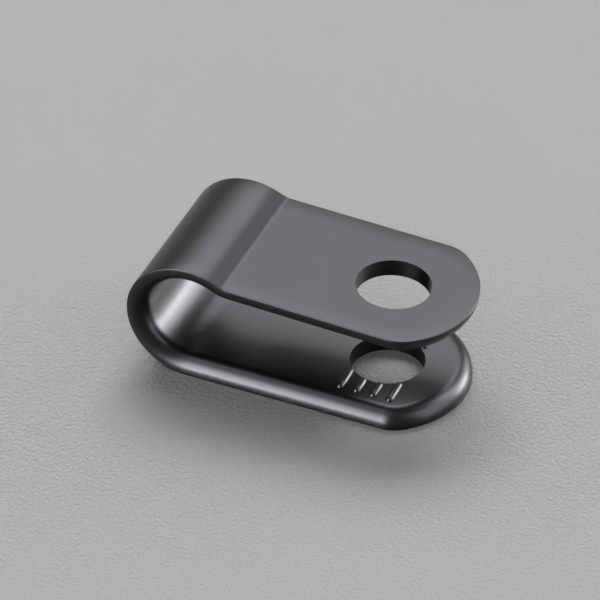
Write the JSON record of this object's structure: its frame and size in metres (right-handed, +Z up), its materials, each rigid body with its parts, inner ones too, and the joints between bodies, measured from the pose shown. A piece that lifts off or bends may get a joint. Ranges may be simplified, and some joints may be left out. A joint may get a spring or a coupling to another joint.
{
  "type": "cable clamp",
  "caption": "One-piece moulded nylon cable clamp: an open loop that holds a cable, with two flat tabs drilled for a screw.",
  "frame": {"origin": "middle of the base tab's screw hole, on the underside that lies on the mounting surface", "axes": "+Z up along the base hole, away from the mounting surface, +X from the loop towards the tips of the tabs, +Y along the cable"},
  "size_m": [0.0196, 0.0096, 0.0077],
  "materials": {
    "black_nylon": "satin"
  },
  "bodies": {
    "root": {"clamp": "black_nylon"}
  },
  "joints": []
}
